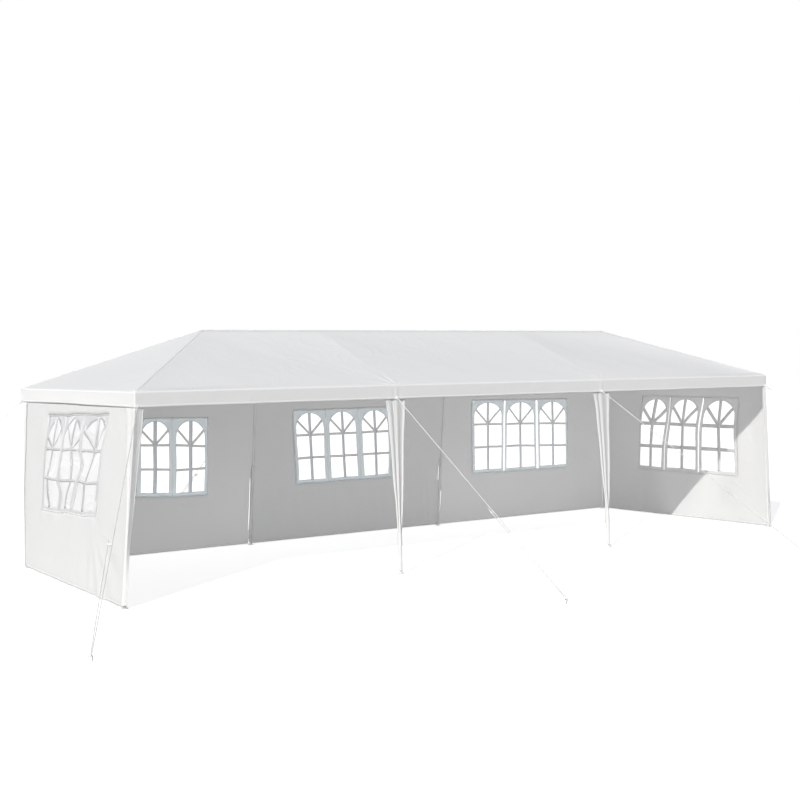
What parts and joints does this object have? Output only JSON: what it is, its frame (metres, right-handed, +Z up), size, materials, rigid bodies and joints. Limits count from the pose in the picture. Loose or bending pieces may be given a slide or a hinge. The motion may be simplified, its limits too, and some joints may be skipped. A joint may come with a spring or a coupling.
{
  "type": "marquee tent",
  "caption": "Long party tent with a hipped fabric roof and valance, an open front, arched-window walls, gathered leg drapes and guy ropes on a steel tube frame.",
  "frame": {"origin": "on the ground at the middle of the tent", "axes": "+X along the open front from left to right, +Y from the open front to the back wall, +Z up"},
  "size_m": [12.595, 7.6374, 2.625],
  "materials": {
    "coated_steel": "white powder coat, satin",
    "roof_fabric": "woven coated polyethylene, matt with a faint sheen",
    "wall_fabric": "woven coated polyethylene, matt",
    "drape_fabric": "gathered woven polyethylene, matt",
    "window_film": "clear soft plastic film, glossy",
    "rope_cord": "braided cord, matt"
  },
  "bodies": {
    "root": {"leg_front_left": "coated_steel", "leg_front_middle_left": "coated_steel", "leg_front_middle_right": "coated_steel", "leg_front_right": "coated_steel", "leg_back_left": "coated_steel", "leg_back_middle_left": "coated_steel", "leg_back_middle_right": "coated_steel", "leg_back_right": "coated_steel", "eave_tube_front_left": "coated_steel", "eave_tube_front_middle": "coated_steel", "eave_tube_front_right": "coated_steel", "eave_tube_back_left": "coated_steel", "eave_tube_back_middle": "coated_steel", "eave_tube_back_right": "coated_steel", "eave_tube_left_end": "coated_steel", "eave_tube_right_end": "coated_steel", "ridge_pole": "coated_steel", "rafter_front_middle_left": "coated_steel", "rafter_front_middle_right": "coated_steel", "hip_rafter_front_left": "coated_steel", "hip_rafter_front_right": "coated_steel", "rafter_back_middle_left": "coated_steel", "rafter_back_middle_right": "coated_steel", "hip_rafter_back_left": "coated_steel", "hip_rafter_back_right": "coated_steel", "roof_front_slope": "roof_fabric", "roof_back_slope": "roof_fabric", "roof_left_hip_end": "roof_fabric", "roof_right_hip_end": "roof_fabric", "valance_front": "roof_fabric", "valance_back": "roof_fabric", "valance_left_end": "roof_fabric", "valance_right_end": "roof_fabric", "wall_left_end": "wall_fabric", "wall_right_end": "wall_fabric", "wall_back_left": "wall_fabric", "wall_back_middle": "wall_fabric", "wall_back_right": "wall_fabric", "window_film_left_end": "window_film", "window_film_right_end": "window_film", "window_film_back_left": "window_film", "window_film_back_middle": "window_film", "window_film_back_right": "window_film", "leg_drape_front_left": "drape_fabric", "leg_drape_front_middle_left": "drape_fabric", "leg_drape_front_middle_right": "drape_fabric", "leg_drape_front_right": "drape_fabric", "leg_drape_back_left": "drape_fabric", "leg_drape_back_middle_left": "drape_fabric", "leg_drape_back_middle_right": "drape_fabric", "leg_drape_back_right": "drape_fabric", "guy_rope_front_left": "rope_cord", "guy_rope_front_middle_left": "rope_cord", "guy_rope_front_middle_right": "rope_cord", "guy_rope_front_right": "rope_cord", "guy_rope_back_left": "rope_cord", "guy_rope_back_middle_left": "rope_cord", "guy_rope_back_middle_right": "rope_cord", "guy_rope_back_right": "rope_cord"}
  },
  "joints": []
}
